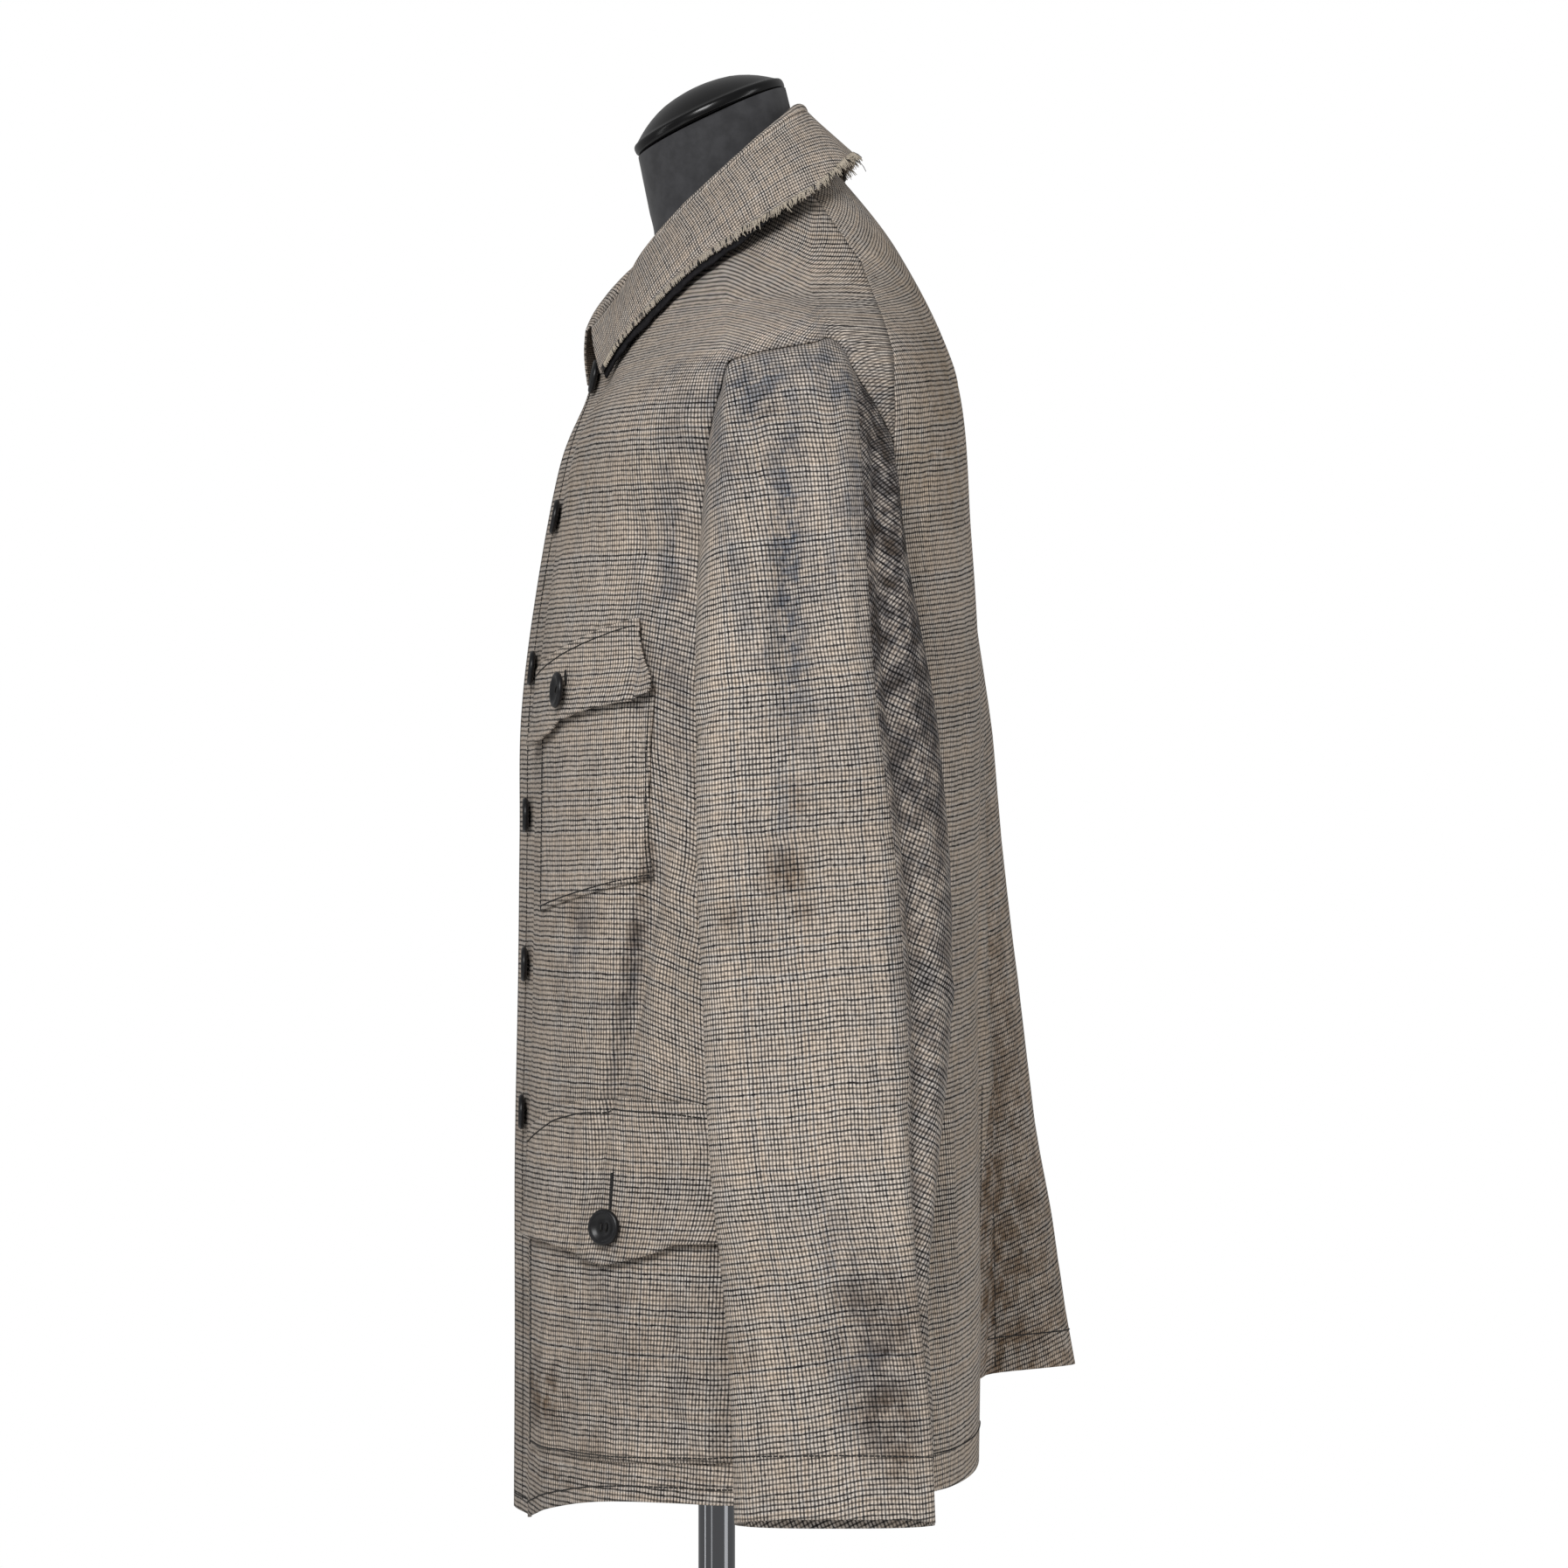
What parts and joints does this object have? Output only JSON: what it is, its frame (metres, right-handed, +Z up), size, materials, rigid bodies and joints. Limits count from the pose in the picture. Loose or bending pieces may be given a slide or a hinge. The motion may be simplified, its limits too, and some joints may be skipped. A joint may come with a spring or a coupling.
{
  "type": "hunting jacket on a dress form",
  "caption": "Worn hunting jacket in a small black-and-ecru check, with a frayed turned-down collar, flapped patch pockets and black buttons, on a limbless dress form with a chrome pole.",
  "frame": {"origin": "on the floor, in the middle of the base's underside, below the pole", "axes": "+Z up, the jacket faces -Y, +X is the wearer's left"},
  "size_m": [0.619, 0.4168, 1.5911],
  "materials": {
    "check_cloth": "dry, matt linen and cotton check, worn and stained",
    "under_collar_cloth": "matt black cloth",
    "button": "black, worn satin",
    "form_cloth": "charcoal jersey drawn tight",
    "neck_cap": "black gloss",
    "pole": "polished",
    "base": "satin black"
  },
  "bodies": {
    "root": {"back_left": "check_cloth", "back_right": "check_cloth", "front_left": "check_cloth", "front_right": "check_cloth", "sleeve_left_top": "check_cloth", "sleeve_left_under": "check_cloth", "sleeve_right_top": "check_cloth", "sleeve_right_under": "check_cloth", "collar": "check_cloth", "under_collar": "under_collar_cloth", "chest_pocket_left": "check_cloth", "chest_pocket_right": "check_cloth", "chest_flap_left": "check_cloth", "chest_flap_right": "check_cloth", "lower_pocket_left": "check_cloth", "lower_pocket_right": "check_cloth", "lower_flap_left": "check_cloth", "lower_flap_right": "check_cloth", "front_button_1": "button", "front_button_2": "button", "front_button_3": "button", "front_button_4": "button", "front_button_5": "button", "front_button_6": "button", "chest_button_left": "button", "chest_button_right": "button", "lower_button_left": "button", "lower_button_right": "button", "form_torso": "form_cloth", "form_neck_cap": "neck_cap", "stand_pole": "pole", "stand_base": "base"}
  },
  "joints": []
}
